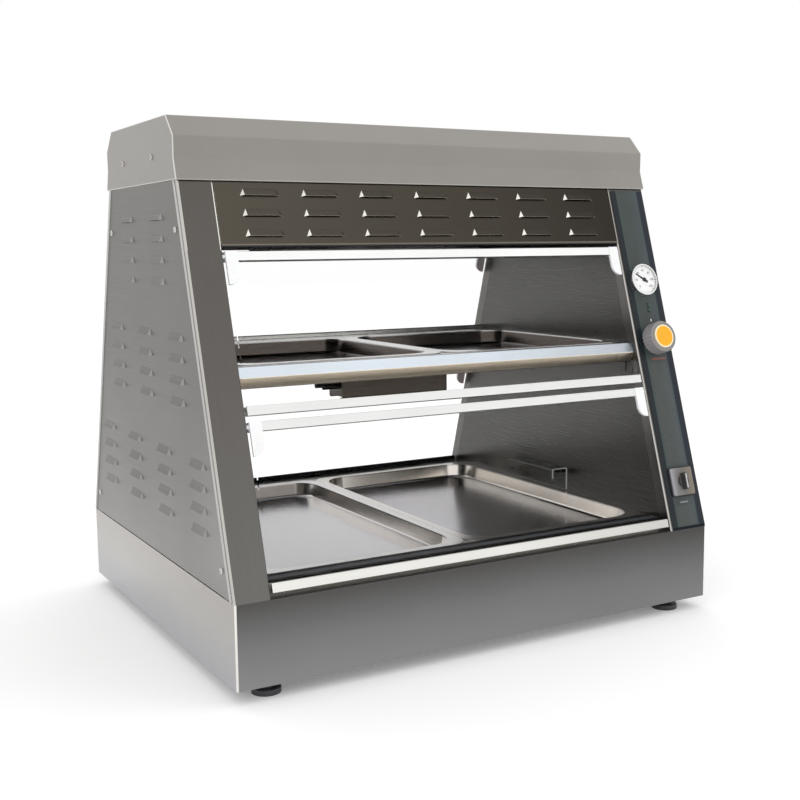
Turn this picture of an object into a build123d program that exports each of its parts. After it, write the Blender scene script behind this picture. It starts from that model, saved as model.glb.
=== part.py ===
from build123d import *
from math import cos, hypot, radians, sin, sqrt, tan
import os

# A heated display cabinet with sloping glass flaps. Millimetres. X is across the front, the
# customer's side faces -Y, Z is up. The origin is the middle of the footprint, on the counter.

# Overall form
width = 770.0
depth = 634.0
foot_height = 19.0
base_height = 110.0
base_top = foot_height + base_height
hood_bottom = base_top + 517.0
hood_height = 84.0
hood_side_overlap = 2.0
hood_bend = 2.5
hood_end_round = 1.6
hood_front_proud = 3.3
hood_rear_proud = 4.3
hood_profile = ((0.0, 0.0), (8.7, 27.5), (7.9, 56.0), (34.8, hood_height))
front_lean = 17.2
rear_lean = 17.6
left_post_width = 48.6
right_post_width = 70.2

# Sheet metal
sheet = 1.2
bend = 1.5

# Levels, each measured up from the top of the base
shelf_top = base_top + 279.0
ceiling_level = base_top + 431.0
pan_rim_level = base_top + 17.0

# Flaps
upper_pivot_level = base_top + 420.0
lower_pivot_level = base_top + 206.6
upper_handle_level = base_top + 226.2
lower_handle_level = base_top + 12.8
rail_height = 12.4
rail_thickness = 10.0
rail_slot_depth = 8.0
glass_thickness = 4.0
glass_inset = 3.0
glass_clearance = 0.15
flap_gap = 3.2
lug_width = 16.5
lug_drop = 32.0
lug_thickness = 4.0
lug_side_wall = 2.5
pivot_radius = 3.0
pivot_clearance = 0.05

# Louvres, pressed out of the sheet
louvre_length = 56.0
louvre_ridge = 46.0
louvre_height = 10.0
louvre_rise = 4.5
vent_louvre_columns = 7
vent_louvre_rows = 3
vent_louvre_pitch = 87.6
vent_louvre_row_pitch = 26.5
vent_louvre_middle = base_top + 476.0
side_louvre_pitch = 134.5
side_louvre_row_pitch = 28.5
side_louvre_groups = ((base_top + 425.0, 2), (base_top + 268.0, 3), (base_top + 109.0, 4))
side_louvre_rows = 4

# Posts and side panels
post_return = 20.0
post_edge = 5.5
panel_reveal = 1.0
panel_flange = 36.0
post_top = hood_bottom + 22.0
panel_top = hood_bottom + 46.0
panel_gap = 1.5
hem_radius = 2.2
inner_wall_gap = 0.4

# Base
base_corner = 4.0
base_top_flange = 36.0
base_bottom_flange = 15.0
sill_gap = 0.6
seal_setback = 2.5
front_seal_height = 1.5
rear_seal_height = 8.0
rear_seal_thickness = 4.0

# Pans
pan_width = 325.0
base_pan_length = 530.0
shelf_pan_length = 354.0
pan_depth = 24.0
pan_sheet = 1.0
pan_rim = 12.0
pan_corner = 28.0
pan_mouth_corner = 44.0
pan_taper = 4.0
pan_floor_fillet = 5.0
pan_gap = 0.4
cutout_clearance = 1.5

# Shelf
shelf_rear_setback = 22.0
shelf_fold_out = 7.5
shelf_fold_drop = 13.8
shelf_face_height = 29.0
shelf_lip = 12.0
shelf_dam = 7.0
shelf_side_drop = 26.0
shelf_pan_front_margin = 13.0
shelf_side_gap = 0.5
bracket_leg = 20.0
bracket_length = 34.0

# Heater under the shelf
housing_length = 188.0
housing_offset = 16.8
housing_front = -22.5
housing_rear = 22.5
housing_bottom = shelf_top - 80.0
housing_top = shelf_top - 28.0
element_radius = 4.25
shelf_element_level = housing_bottom + 19.0
shelf_element_spread = 13.0
housing_tab = 14.0
housing_tab_inset = 10.0
element_stub = 28.0

# Heater in the base
base_element_level = foot_height + 69.0
base_element_runs = 4
base_element_pitch = 118.0
base_element_left = -width / 2 + 100.0
base_element_right = width / 2 - 135.0
base_element_tail = width / 2 - 47.0
base_element_bend = 55.0
clip_width = 16.0
clip_thickness = 3.0

# Feet
foot_x = width / 2 - 52.0
foot_y = depth / 2 - 33.0
foot_pad_radius = 19.5
foot_pad_height = 8.0
foot_collar_radius = 11.0
foot_stud_radius = 5.0
foot_stud_top = foot_height + 33.0
insert_radius = 11.0
insert_top = foot_height + 23.0

# Controls on the right front post
control_x = width / 2 - 36.5
thermometer_level = base_top + 373.0
thermometer_radius = 23.2
thermometer_bezel = thermometer_radius + 1.8
thermometer_proud = 9.0
dial_level = 5.0
pointer_radius = 1.0
pointer_reach = thermometer_radius - 5.7
pointer_rest_angle = 57.0
knob_x = width / 2 - 33.0
knob_level = base_top + 282.5
knob_radius = 24.4
knob_height = 21.0
knob_cap_radius = 16.2
knob_cap_height = 1.6
knob_ribs = 28
knob_shaft_radius = 3.0
knob_gap = 1.0
switch_x = width / 2 - 33.5
switch_level = base_top + 69.0
switch_size = 42.0
switch_plate_thickness = 4.0
lever_hub_radius = 9.0
lever_grip_width = 5.0
lever_grip_length = 26.0
lever_grip_height = 9.0
lever_spindle_radius = 2.5
running_clearance = 0.05
overlay_thickness = 0.8
overlay_margin = 3.0

# Lamp under the ceiling
lamp_length = 380.0
lamp_radius = 8.0
lamp_drop = 9.0
lamp_holder_wall = 1.5

# Sensor guard on the right wall
guard_front = -60.0
guard_rear = 69.0
guard_width = 30.0
guard_top = pan_rim_level + 39.5
guard_short_leg = 16.5
guard_foot = pan_rim_level + 2.5
bulb_radius = 3.0
capillary_radius = 1.0

# Screws and the cable gland
screw_radius = 4.2
screw_head = 2.2
screw_shank = 1.9
screw_clearance = 0.1
gland_x = width / 2 - 85.0
gland_level = foot_height + 53.0
gland_radius = 8.0
gland_bore = 4.0
gland_inside = 14.0
gland_nut = 5.0
gland_nut_radius = 13.0
gland_cone = 6.0
gland_cone_radius = 10.0
screw_levels = (hood_bottom - 63.0, base_top + 34.0)
screw_inward = 27.0
hood_screw_level = hood_bottom + 34.0
hood_screw_y = 66.0

# Sizes worked out from the ones above
hood_width = width + 2 * hood_side_overlap
left_wall_x = -width / 2 + left_post_width
right_wall_x = width / 2 - right_post_width
opening_middle = (left_wall_x + right_wall_x) / 2
lean = {"front": front_lean, "rear": rear_lean}
deck_top = pan_rim_level - pan_sheet


def slope_yz(face, along, inward):
    """A point of the front slope's own section: distance up the slope, distance inward."""
    tilt = radians(lean[face])
    y = -depth / 2 + along * sin(tilt) + inward * cos(tilt)
    z = base_top + along * cos(tilt) - inward * sin(tilt)
    return (y, z)


def slope_along(face, level):
    """Distance up the slope to the point of its outer face at a given height."""
    return (level - base_top) / cos(radians(lean[face]))


def slope_y(face, level, inward=0.0):
    """Y at a given height on the front slope, moved inward square to the slope."""
    tilt = radians(lean[face])
    return -depth / 2 + (level - base_top) * tan(tilt) + inward / cos(tilt)


shelf_front = slope_y("front", shelf_top, rail_thickness)
shelf_rear = -slope_y("rear", shelf_top, rail_thickness) - shelf_rear_setback


def put_on(face, shape):
    """Pieces of the rear slope are made facing the front, then turned over to the rear."""
    if face == "rear":
        return mirror(shape, about=Plane.XZ)
    return shape


def slope_plane(face, x, level, outward=0.0):
    """A plane lying on the front slope: local x across, local y up the slope, normal outward."""
    y, z = slope_yz(face, slope_along(face, level), -outward)
    tilt = radians(lean[face])
    return Plane(origin=(x, y, z), x_dir=(1, 0, 0), z_dir=(0, -cos(tilt), sin(tilt)))


def across(outline, x_low, x_high):
    """A prism along X whose section in Y and Z is the outline."""
    return extrude(Plane.YZ.offset(x_low) * outline, amount=x_high - x_low)


def polygon(points):
    return make_face(Polyline(*points, close=True))


def slab(z_low, z_high):
    """A slab wider than the machine, used to trim pieces level."""
    return Pos(0, 0, (z_low + z_high) / 2) * Box(2 * width, 2 * depth, z_high - z_low)


def block(x_low, x_high, y_low, y_high, z_low, z_high):
    middle = Pos((x_low + x_high) / 2, (y_low + y_high) / 2, (z_low + z_high) / 2)
    return middle * Box(x_high - x_low, y_high - y_low, z_high - z_low)


def rod(start, end, radius):
    """A round bar between two points."""
    axis = Vector(*end) - Vector(*start)
    section = Plane(origin=start, z_dir=axis.normalized()) * Circle(radius)
    return extrude(section, amount=axis.length)


def folded(path, side=1, thickness=sheet, inner_bend=bend):
    """The section of a folded sheet: its outer path, with the metal on the left (side 1)."""
    inner = []
    outer_radii = []
    inner_radii = []
    steps = [(b[0] - a[0], b[1] - a[1]) for a, b in zip(path, path[1:])]
    normals = [(-side * dy / hypot(dx, dy), side * dx / hypot(dx, dy)) for dx, dy in steps]
    inner.append((path[0][0] + normals[0][0] * thickness, path[0][1] + normals[0][1] * thickness))
    for corner, before, after in zip(path[1:-1], normals, normals[1:]):
        share = thickness / (1 + before[0] * after[0] + before[1] * after[1])
        inner.append((corner[0] + (before[0] + after[0]) * share,
                      corner[1] + (before[1] + after[1]) * share))
    inner.append((path[-1][0] + normals[-1][0] * thickness,
                  path[-1][1] + normals[-1][1] * thickness))
    for before, after in zip(steps, steps[1:]):
        turn = side * (before[0] * after[1] - before[1] * after[0])
        outer_radii.append(inner_bend + thickness if turn > 0 else inner_bend)
        inner_radii.append(inner_bend if turn > 0 else inner_bend + thickness)
    outline = FilletPolyline(*path, radius=outer_radii)
    outline += Line(path[-1], inner[-1])
    outline += FilletPolyline(*reversed(inner), radius=list(reversed(inner_radii)))
    outline += Line(inner[0], path[0])
    return make_face(outline)


def louvre():
    """A pressed louvre on the plane z = 0, standing out at its open lower end, and its hole."""
    base, ridge = louvre_length / 2, louvre_ridge / 2
    left, right = Vector(-base, 0, 0), Vector(base, 0, 0)
    upper_left, upper_right = Vector(-ridge, louvre_height, 0), Vector(ridge, louvre_height, 0)
    lip_left, lip_right = Vector(-ridge, 0, louvre_rise), Vector(ridge, 0, louvre_rise)
    loops = [(left, right, upper_right, upper_left), (left, right, lip_right, lip_left),
             (lip_left, lip_right, upper_right, upper_left),
             (left, lip_left, upper_left), (right, lip_right, upper_right)]
    form = Solid(Shell([polygon(loop) for loop in loops]))
    return form, Pos(0, 0, -sheet) * form


def with_louvres(panel, planes):
    form, hollow = louvre()
    panel = panel + [plane * form for plane in planes]
    return panel - [plane * hollow for plane in planes]


# Base


def base_outline(inset):
    return RectangleRounded(width - 2 * inset, depth - 2 * inset, max(base_corner - inset, 0.5))


def base_shell():
    """The plinth: a welded ring of sheet with an inward flange above and below."""
    ring = base_outline(0) - base_outline(sheet)
    top = base_outline(0) - Rectangle(width - 2 * base_top_flange, depth - 2 * base_top_flange)
    bottom = base_outline(0) - Rectangle(width - 2 * base_bottom_flange,
                                         depth - 2 * base_bottom_flange)
    shell = Pos(0, 0, foot_height) * extrude(ring, amount=base_height)
    shell += Pos(0, 0, base_top - sheet) * extrude(top, amount=sheet)
    shell += Pos(0, 0, foot_height) * extrude(bottom, amount=sheet)
    return shell - rod((gland_x, depth / 2 - 5, gland_level),
                       (gland_x, depth / 2 + 5, gland_level), gland_radius)


def base_floor():
    """The bottom plate, with air slots and four welded inserts for the feet."""
    level = foot_height + sheet
    plate = block(-width / 2 + 2 * sheet, width / 2 - 2 * sheet,
                  -depth / 2 + 2 * sheet, depth / 2 - 2 * sheet, level, level + sheet)
    slots = []
    for row in range(-2, 3):
        for column in range(-3, 4):
            slots.append(Pos(column * 80, row * 70, level) * extrude(SlotOverall(46, 6),
                                                                    amount=3 * sheet, both=True))
    plate -= slots
    feet = [(x, y) for x in (-foot_x, foot_x) for y in (-foot_y, foot_y)]
    plate += [Pos(x, y, (foot_height + insert_top) / 2)
              * Cylinder(insert_radius, insert_top - foot_height) for x, y in feet]
    return plate - [Pos(x, y, foot_height) * Cylinder(foot_stud_radius + running_clearance, 200)
                    for x, y in feet]


def pan_places(level, y_middle):
    """Two pans side by side in the middle of the opening."""
    half_pitch = (pan_width + pan_gap) / 2
    return [(opening_middle + side * half_pitch, y_middle, level) for side in (-1, 1)]


def pan_mouth(length, growth=0.0):
    """The outline of a pan below its rim, grown by a clearance for the hole it hangs in."""
    return RectangleRounded(pan_width - 2 * pan_rim + 2 * growth,
                            length - 2 * pan_rim + 2 * growth, pan_mouth_corner + growth)


def base_deck():
    """The deck that carries the base pans, folded down to the base behind the lower rails."""
    front = slope_y("front", deck_top, rail_thickness + sill_gap)
    rear = -slope_y("rear", deck_top, rail_thickness + sill_gap)
    path = [(front, base_top), (front, deck_top), (rear, deck_top), (rear, base_top)]
    deck = across(folded(path, side=-1), left_wall_x, right_wall_x)
    holes = [Pos(*place) * extrude(pan_mouth(base_pan_length, cutout_clearance),
                                   amount=2 * sheet, both=True)
             for place in pan_places(deck_top, 0.0)]
    return deck - holes


def deck_seals():
    """Rubber seals on the deck, a flat one behind the front handle and an upright one at the rear."""
    front = slope_y("front", deck_top, rail_thickness + sill_gap) + seal_setback
    rear = -slope_y("rear", deck_top, rail_thickness + sill_gap) - seal_setback
    x_low, x_high = left_wall_x + seal_setback, right_wall_x - seal_setback
    flat = block(x_low, x_high, front, -base_pan_length / 2 - seal_setback,
                 deck_top, deck_top + front_seal_height)
    upright = block(x_low, x_high, rear - rear_seal_thickness, rear,
                    deck_top, deck_top + rear_seal_height)
    return Compound(children=[flat, upright])


# Sides


def post(face, side):
    """A folded post on the slope, with a return into the opening and a flange for the side panel."""
    outer = -width / 2
    inner = -width / 2 + (left_post_width if side == "left" else right_post_width)
    skin = folded([(outer, post_edge), (outer, 0), (inner, 0), (inner, post_return)])
    seat = Pos(outer + 1.5 * sheet, (sheet + panel_flange) / 2) * Rectangle(
        sheet, panel_flange - sheet)
    top_along = slope_along(face, post_top) + 20
    tilt = radians(lean[face])
    start_y, start_z = slope_yz(face, -20, 0)
    section_plane = Plane(origin=(0, start_y, start_z), x_dir=(1, 0, 0),
                          z_dir=(0, sin(tilt), cos(tilt)))
    body = extrude(section_plane * skin, amount=top_along + 20)
    body += extrude(section_plane * seat, amount=top_along + 20)
    body = body & slab(base_top, post_top)
    holes = []
    for level in (upper_pivot_level, lower_pivot_level):
        y, z = slope_yz(face, slope_along(face, level), rail_thickness / 2)
        holes.append(rod((inner - 3, y, z), (inner + 3, y, z), pivot_radius + pivot_clearance))
    body -= holes
    for level in screw_levels:
        y = slope_y(face, level, screw_inward)
        body -= rod((outer - 3, y, level), (outer + 6, y, level), screw_shank + screw_clearance)
    if side == "right":
        body = mirror(body, about=Plane.YZ)
        if face == "front":
            body -= control_holes()
    return put_on(face, body)


def control_holes():
    """Holes for the thermometer, the thermostat's shaft and the switch, through post and overlay."""
    thermometer = slope_plane("front", control_x, thermometer_level)
    knob = slope_plane("front", knob_x, knob_level)
    switch = slope_plane("front", switch_x, switch_level)
    return [thermometer * Cylinder(thermometer_radius + 0.3, 20),
            knob * Cylinder(knob_shaft_radius + 2, 20),
            switch * Box(switch_size - 12, switch_size - 12, 20)]


def trapezoid(z_low, z_high, inset):
    """The outline of a side, set in from the front and rear slopes."""
    return polygon([(slope_y("front", z_low, inset), z_low),
                    (slope_y("front", z_high, inset), z_high),
                    (-slope_y("rear", z_high, inset), z_high),
                    (-slope_y("rear", z_low, inset), z_low)])


def screw_places():
    """Where the side panels and the hood are screwed on: y and z on the left side."""
    places = [(slope_y("front", level, screw_inward), level) for level in screw_levels]
    places += [(-slope_y("rear", level, screw_inward), level) for level in screw_levels]
    places += [(y, hood_screw_level) for y in (-hood_screw_y, hood_screw_y)]
    return places


def panel_hems():
    """Half-round hems along the two slanted edges of the left side panel."""
    inset = post_edge + panel_reveal + hem_radius
    outside = block(-width, -width / 2, -depth, depth, base_top + panel_gap, hood_bottom - 0.5)
    hems = []
    for face in ("front", "rear"):
        low = slope_yz(face, -10, inset)
        high = slope_yz(face, slope_along(face, hood_bottom) + 10, inset)
        hem = rod((-width / 2, *low), (-width / 2, *high), hem_radius)
        hems.append(put_on(face, hem) & outside)
    return hems


def outer_panel(side):
    """A louvred side panel, screwed to the flanges of the posts."""
    x = -width / 2
    inset = post_edge + panel_reveal
    panel = across(trapezoid(base_top + panel_gap, panel_top, inset), x, x + sheet)
    planes = []
    for middle, columns in side_louvre_groups:
        for row in range(side_louvre_rows):
            for column in range(columns):
                y = (column - (columns - 1) / 2) * side_louvre_pitch
                z = middle + (row - (side_louvre_rows - 1) / 2) * side_louvre_row_pitch
                planes.append(Plane(origin=(x, y, z), x_dir=(0, -1, 0), z_dir=(-1, 0, 0)))
    panel = with_louvres(panel + panel_hems(), planes)
    panel -= [rod((x - 5, y, z), (x + 5, y, z), screw_shank + screw_clearance)
              for y, z in screw_places()]
    if side == "right":
        return mirror(panel, about=Plane.YZ)
    return panel


def inner_wall(side):
    """A plain inner wall between the returns of the posts."""
    x_low = left_wall_x - sheet if side == "left" else right_wall_x
    wall = across(trapezoid(base_top, post_top, post_return + inner_wall_gap), x_low, x_low + sheet)
    if side == "right":
        wall -= capillary_holes()
    return wall


def vent_panel(face):
    """The louvred panel above the upper flap, folded inward at its lower edge."""
    bottom = slope_along(face, ceiling_level)
    top = slope_along(face, post_top)
    path = [slope_yz(face, top, 0), slope_yz(face, bottom, 0),
            slope_yz(face, bottom, rail_thickness + 4)]
    panel = across(folded(path), left_wall_x, right_wall_x)
    planes = []
    for row in range(vent_louvre_rows):
        level = vent_louvre_middle + (row - (vent_louvre_rows - 1) / 2) * vent_louvre_row_pitch
        for column in range(vent_louvre_columns):
            x = opening_middle + (column - (vent_louvre_columns - 1) / 2) * vent_louvre_pitch
            planes.append(slope_plane(face, x, level - louvre_height / 2))
    return put_on(face, with_louvres(panel, planes))


def ceiling_panel():
    """The cabin's ceiling, turned up at the front and the rear."""
    front = slope_y("front", ceiling_level, rail_thickness + 5)
    rear = -slope_y("rear", ceiling_level, rail_thickness + 5)
    path = [(front, ceiling_level + 14), (front, ceiling_level - sheet),
            (rear, ceiling_level - sheet), (rear, ceiling_level + 14)]
    return across(folded(path), left_wall_x, right_wall_x)


# Hood


def hood_outline():
    """The hood's outer outline from its lower front edge over the top to its lower rear edge."""
    front = slope_y("front", hood_bottom) - hood_front_proud
    rear = -slope_y("rear", hood_bottom) + hood_rear_proud
    return ([(front + inward, hood_bottom + rise) for inward, rise in hood_profile]
            + [(rear - inward, hood_bottom + rise) for inward, rise in reversed(hood_profile)])


def hood_shell():
    """The painted cover: one sheet folded over the top, with a flat end welded on each side."""
    outline = hood_outline()
    shell = across(folded(outline, side=-1, inner_bend=hood_bend), -width / 2, width / 2)
    edge = FilletPolyline(*outline, radius=hood_bend + sheet) + Line(outline[-1], outline[0])
    cap = across(make_face(edge), -hood_width / 2, -width / 2)
    cap = fillet(cap.faces().sort_by(Axis.X)[0].edges(), hood_end_round)
    cap -= [rod((-hood_width / 2 - 5, y, z), (-width / 2 + 5, y, z), screw_shank + screw_clearance)
            for y, z in screw_places() if z == hood_screw_level]
    return shell + cap + mirror(cap, about=Plane.YZ)


def panel_screws():
    """Pan-head screws of the side panels and the hood ends."""
    screws = []
    for y, z in screw_places():
        seat = -hood_width / 2 if z == hood_screw_level else -width / 2
        dome = Pos(seat, y, z) * (Rot(0, -90, 0) * Cylinder(screw_radius, screw_head, align=(
            Align.CENTER, Align.CENTER, Align.MIN)))
        dome = fillet(dome.edges().filter_by(GeomType.CIRCLE).group_by(Axis.X)[0], screw_head * 0.6)
        slot_depth = screw_head * 0.4
        slots = [block(seat - screw_head - 1, seat - screw_head + slot_depth,
                       y - length / 2, y + length / 2, z - height / 2, z + height / 2)
                 for length, height in ((4.4, 0.9), (0.9, 4.4))]
        shank = rod((seat, y, z), (seat + 6, y, z), screw_shank)
        screw = dome - slots + shank
        screws += [screw, mirror(screw, about=Plane.YZ)]
    return Compound(children=screws)


# Flaps


def flap_levels(which):
    if which == "upper":
        return upper_pivot_level, upper_handle_level
    return lower_pivot_level, lower_handle_level


def flap_span():
    return left_wall_x + flap_gap, right_wall_x - flap_gap


def rail_section(face, middle, direction):
    """An aluminium channel round the edge of the glass; direction 1 opens down, -1 opens up."""
    half = rail_height / 2
    mouth = middle - direction * half
    slot_end = mouth + direction * rail_slot_depth
    body = [slope_yz(face, middle - half, 0), slope_yz(face, middle + half, 0),
            slope_yz(face, middle + half, rail_thickness), slope_yz(face, middle - half, rail_thickness)]
    low = glass_inset - glass_clearance
    high = glass_inset + glass_thickness + glass_clearance
    slot = [slope_yz(face, mouth - direction, low), slope_yz(face, slot_end, low),
            slope_yz(face, slot_end, high), slope_yz(face, mouth - direction, high)]
    outline = fillet(polygon(body).vertices(), 1.2)
    return outline - polygon(slot)


def flap_glass(face, which):
    """The pane, held in the rail above and in the handle below."""
    pivot, handle = (slope_along(face, level) for level in flap_levels(which))
    low = handle + rail_height / 2 - rail_slot_depth + 0.5
    high = pivot - rail_height / 2 + rail_slot_depth - 0.5
    outline = [slope_yz(face, low, glass_inset), slope_yz(face, high, glass_inset),
               slope_yz(face, high, glass_inset + glass_thickness),
               slope_yz(face, low, glass_inset + glass_thickness)]
    x_low, x_high = flap_span()
    inset = lug_side_wall + glass_clearance
    return put_on(face, across(polygon(outline), x_low + inset, x_high - inset))


def flap_rails(face, which):
    """The top rail, cut short for the lugs, and the handle rail along the lower edge."""
    pivot, handle = (slope_along(face, level) for level in flap_levels(which))
    x_low, x_high = flap_span()
    top = across(rail_section(face, pivot, 1), x_low + lug_width, x_high - lug_width)
    bottom = across(rail_section(face, handle, -1), x_low, x_high)
    return Compound(children=[put_on(face, top), put_on(face, bottom)])


def flap_lugs(face, which):
    """Plastic hinge lugs on the upper corners, each with its pivot pin in the post."""
    pivot = flap_levels(which)[0]
    x_low, x_high = flap_span()
    middle = slope_along(face, pivot)
    half = rail_height / 2
    plane = slope_plane(face, x_low, pivot)
    proud = lug_thickness - glass_inset
    head = plane * Pos(lug_width / 2, 0, (proud - rail_thickness) / 2) * Box(
        lug_width, rail_height, rail_thickness + proud)
    low = -half - lug_drop
    lobe = make_face(Polyline((0, -half + 1), (0, low), (2, low)) + RadiusArc(
        (2, low), (lug_width, low + lug_width), -lug_width + 1.2) + Polyline(
        (lug_width, low + lug_width), (lug_width, -half + 1), (0, -half + 1)))
    plate = extrude(plane * (Pos(0, 0, -glass_inset + glass_clearance) * lobe),
                    amount=lug_thickness - glass_clearance)
    slot_low = slope_yz(face, middle - half - 2, glass_inset - glass_clearance)
    slot_high = slope_yz(face, middle - half + rail_slot_depth, glass_inset - glass_clearance)
    far = glass_inset + glass_thickness + glass_clearance
    slot = polygon([slot_low, slot_high, slope_yz(face, middle - half + rail_slot_depth, far),
                    slope_yz(face, middle - half - 2, far)])
    y, z = slope_yz(face, middle, rail_thickness / 2)
    pin = rod((x_low - flap_gap - sheet - 2, y, z), (x_low + 1, y, z), pivot_radius)
    lug = head + plate - across(slot, x_low + lug_side_wall, x_low + lug_width + 1) + pin
    other = mirror(lug, about=Plane.YZ.offset(opening_middle))
    return Compound(children=[put_on(face, lug), put_on(face, other)])


# Pans


def pan(length, place):
    """A pressed pan with round corners and a flat rim."""
    rim = RectangleRounded(pan_width, length, pan_corner)
    foot_width = pan_width - 2 * pan_rim - 2 * pan_taper
    foot_length = length - 2 * pan_rim - 2 * pan_taper
    foot = RectangleRounded(foot_width, foot_length, pan_mouth_corner - pan_taper)
    outside = loft([pan_mouth(length), Pos(0, 0, -pan_depth) * foot])
    outside = fillet(outside.faces().sort_by(Axis.Z)[0].edges(), pan_floor_fillet)
    inner_foot = RectangleRounded(foot_width - 2 * pan_sheet, foot_length - 2 * pan_sheet,
                                  pan_mouth_corner - pan_taper - pan_sheet)
    inside = loft([pan_mouth(length, -pan_sheet), Pos(0, 0, pan_sheet - pan_depth) * inner_foot])
    inside = fillet(inside.faces().sort_by(Axis.Z)[0].edges(), pan_floor_fillet - pan_sheet)
    return Pos(*place) * (extrude(rim, amount=-pan_sheet) + outside - inside)


# Shelf


def shelf_frame():
    """The shelf: a folded sheet with a broken front face, a low dam behind and two pan holes."""
    front = shelf_front - shelf_fold_out
    path = [(shelf_front + 1 + shelf_lip, shelf_top - shelf_face_height),
            (shelf_front + 1, shelf_top - shelf_face_height),
            (front, shelf_top - shelf_fold_drop), (shelf_front, shelf_top)]
    path += [(shelf_rear - 5.2, shelf_top), (shelf_rear - 5.2, shelf_top + shelf_dam),
             (shelf_rear, shelf_top + shelf_dam), (shelf_rear, shelf_top - shelf_face_height)]
    section = folded(path, side=-1, inner_bend=0.8)
    ends = (left_wall_x + shelf_side_gap, right_wall_x - shelf_side_gap)
    shelf = across(section, *ends)
    side_low = shelf_top - shelf_side_drop
    for x_low in (ends[0], ends[1] - sheet):
        shelf += block(x_low, x_low + sheet, shelf_front + 4, shelf_rear - 4, side_low, shelf_top - 0.5)
    holes = [Pos(*place) * extrude(pan_mouth(shelf_pan_length, cutout_clearance),
                                   amount=3 * sheet, both=True) for place in shelf_pan_places()]
    return shelf - holes


def shelf_pan_places():
    middle = shelf_front + shelf_pan_front_margin + shelf_pan_length / 2
    return pan_places(shelf_top + pan_sheet, middle)


def shelf_brackets():
    """Four folded angles on the inner walls that carry the shelf's side flanges."""
    top = shelf_top - shelf_side_drop
    section = folded([(0, -bracket_leg), (0, 0), (bracket_leg, 0)], side=-1)
    brackets = []
    for y in (shelf_front + 30, shelf_rear - 30):
        plane = Plane(origin=(left_wall_x, y + bracket_length / 2, top), x_dir=(1, 0, 0),
                      z_dir=(0, -1, 0))
        left = extrude(plane * section, amount=bracket_length)
        brackets += [left, mirror(left, about=Plane.YZ.offset(opening_middle))]
    return Compound(children=brackets)


def housing_ends():
    middle = opening_middle + housing_offset
    return middle - housing_length / 2, middle + housing_length / 2


def shelf_heater_housing():
    """An inverted tray that hangs on tabs between the shelf pans and holds the element."""
    x_low, x_high = housing_ends()
    path = [(housing_front + 8, housing_bottom), (housing_front, housing_bottom),
            (housing_front, housing_top), (housing_rear, housing_top),
            (housing_rear, housing_bottom), (housing_rear - 8, housing_bottom)]
    tray = across(folded(path, side=-1), x_low, x_high)
    ends = [block(x, x + sheet, housing_front + 0.5, housing_rear - 0.5,
                  housing_bottom + 3, housing_top - 0.5) for x in (x_low, x_high - sheet)]
    tabs = [block(opening_middle - housing_tab / 2, opening_middle + housing_tab / 2,
                  y - sheet / 2, y + sheet / 2, housing_top - sheet, shelf_top - sheet)
            for y in (housing_front + housing_tab_inset, housing_rear - housing_tab_inset)]
    tray = tray + ends + tabs
    return tray - [rod((x_low - 5, y, shelf_element_level), (x_low + 5, y, shelf_element_level),
                       element_radius + 0.1)
                   for y in (-shelf_element_spread, shelf_element_spread)]


def swept_rod(points, radius, bend_radius):
    """A round rod along straight runs joined by arcs."""
    line = FilletPolyline(*points, radius=bend_radius)
    section = Plane(origin=line @ 0, z_dir=line % 0) * Circle(radius)
    return sweep(section, path=line)


def shelf_heater_element():
    """A hairpin element whose cold ends stick out of the housing on the left."""
    left, right = housing_ends()
    x_low = left - element_stub
    x_high = right - 14
    y = shelf_element_spread
    z = shelf_element_level
    return swept_rod([(x_low, -y, z), (x_high, -y, z), (x_high, y, z), (x_low, y, z)],
                     element_radius, shelf_element_spread - 0.5)


def base_heater_element():
    """A tubular element laid in long runs under the base pans."""
    points = []
    for run in range(base_element_runs):
        y = (run - (base_element_runs - 1) / 2) * base_element_pitch
        ends = [base_element_right, base_element_left]
        if run % 2:
            ends.reverse()
        points += [(x, y, base_element_level) for x in ends]
    points[0] = (base_element_tail, points[0][1], base_element_level)
    points[-1] = (base_element_tail, points[-1][1], base_element_level)
    return swept_rod(points, element_radius, base_element_bend)


def heater_clips():
    """Saddles that hold the base element above the floor."""
    floor = foot_height + 2 * sheet
    clips = []
    for run in range(base_element_runs):
        y = (run - (base_element_runs - 1) / 2) * base_element_pitch
        for x in (-160.0, 140.0):
            foot = block(x - clip_width / 2, x + clip_width / 2, y - 8, y + 8, floor, floor + 2)
            stem = block(x - clip_width / 2, x + clip_width / 2, y - clip_thickness / 2,
                         y + clip_thickness / 2, floor, base_element_level - 3)
            head = block(x - clip_width / 2, x + clip_width / 2, y - 7, y + 7,
                         base_element_level - 7, base_element_level)
            bed = rod((x - 20, y, base_element_level), (x + 20, y, base_element_level),
                      element_radius + 0.1)
            clips.append(foot + stem + head - bed)
    return Compound(children=clips)


# Lamp


def lamp_holders():
    """Two holders under the ceiling, one at each end of the tube."""
    y_half = 13.0
    top = ceiling_level - sheet
    holders = []
    for side in (-1, 1):
        x = opening_middle + side * (lamp_length / 2 + 8)
        body = block(x - 11, x + 11, -y_half, y_half, top - lamp_drop - lamp_radius - lamp_holder_wall, top)
        body = fillet(body.edges().filter_by(Axis.X).group_by(Axis.Z)[0], 6)
        socket = rod((x, 0, top - lamp_drop), (x - side * 12, 0, top - lamp_drop), lamp_radius + 0.2)
        holders.append(body - socket)
    return Compound(children=holders)


def lamp_tube():
    z = ceiling_level - sheet - lamp_drop
    return rod((opening_middle - lamp_length / 2 - 7, 0, z),
               (opening_middle + lamp_length / 2 + 7, 0, z), lamp_radius)


# Temperature sensing


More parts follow.
